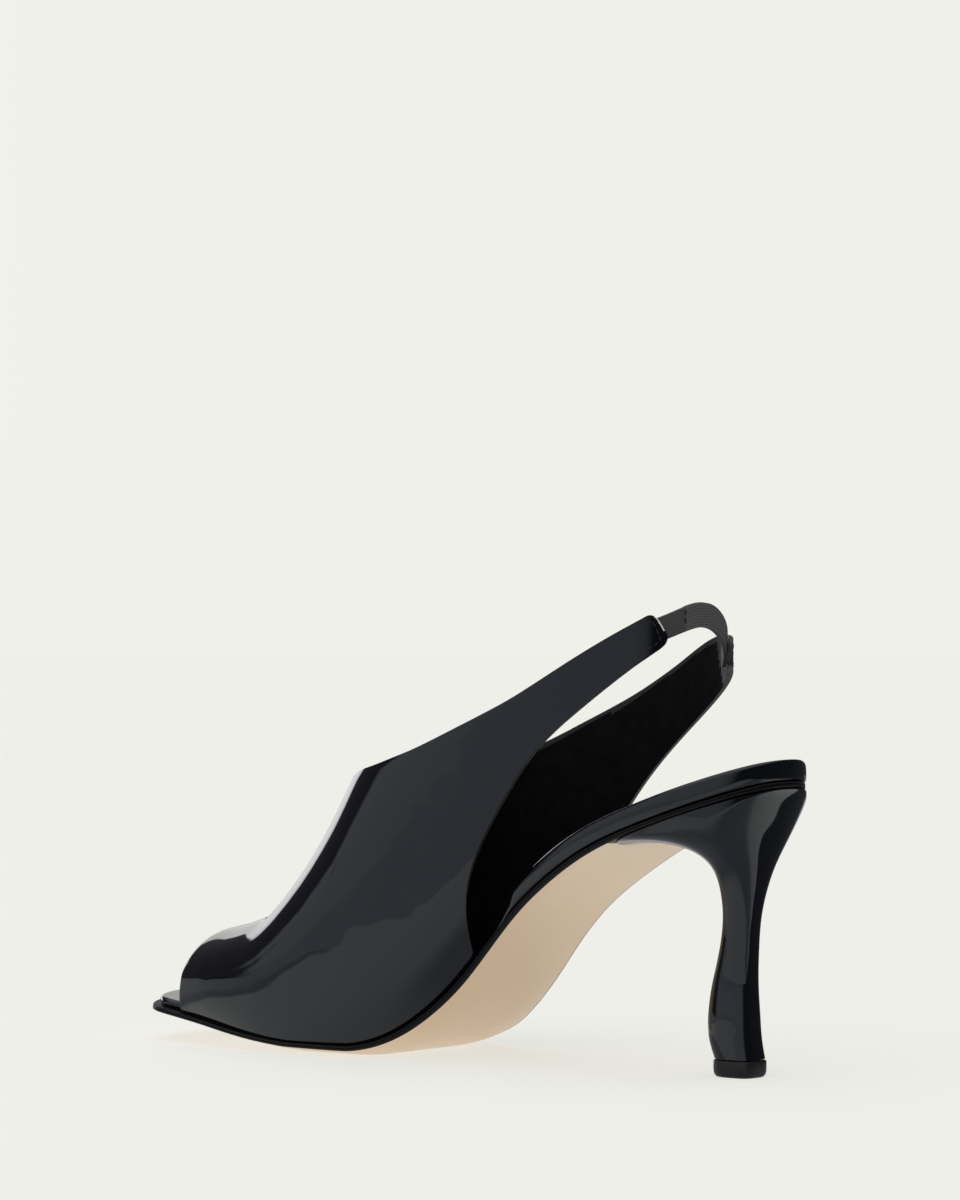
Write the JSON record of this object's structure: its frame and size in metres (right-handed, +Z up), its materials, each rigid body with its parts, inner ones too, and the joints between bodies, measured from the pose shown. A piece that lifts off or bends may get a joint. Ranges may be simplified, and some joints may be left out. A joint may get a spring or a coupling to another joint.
{
  "type": "slingback sandal",
  "caption": "High-heeled slingback sandal with a patent leather upper, open toe, elastic at the ankle strap and a slim curved heel.",
  "frame": {"origin": "middle of the box at the floor that the sole and heel stand on", "axes": "+Y from the toe towards the heel, +X towards the wearer's left, the outer side, +Z up"},
  "size_m": [0.0674, 0.2246, 0.1316],
  "materials": {
    "outsole": "smooth natural leather with a black painted edge",
    "patent": "glossy black patent",
    "elastic": "ribbed black elastic",
    "tip": "satin black"
  },
  "bodies": {
    "root": {"outsole": "outsole", "insole": "patent", "upper": "patent", "elastic": "elastic", "heel": "patent", "top_piece": "tip"}
  },
  "joints": []
}
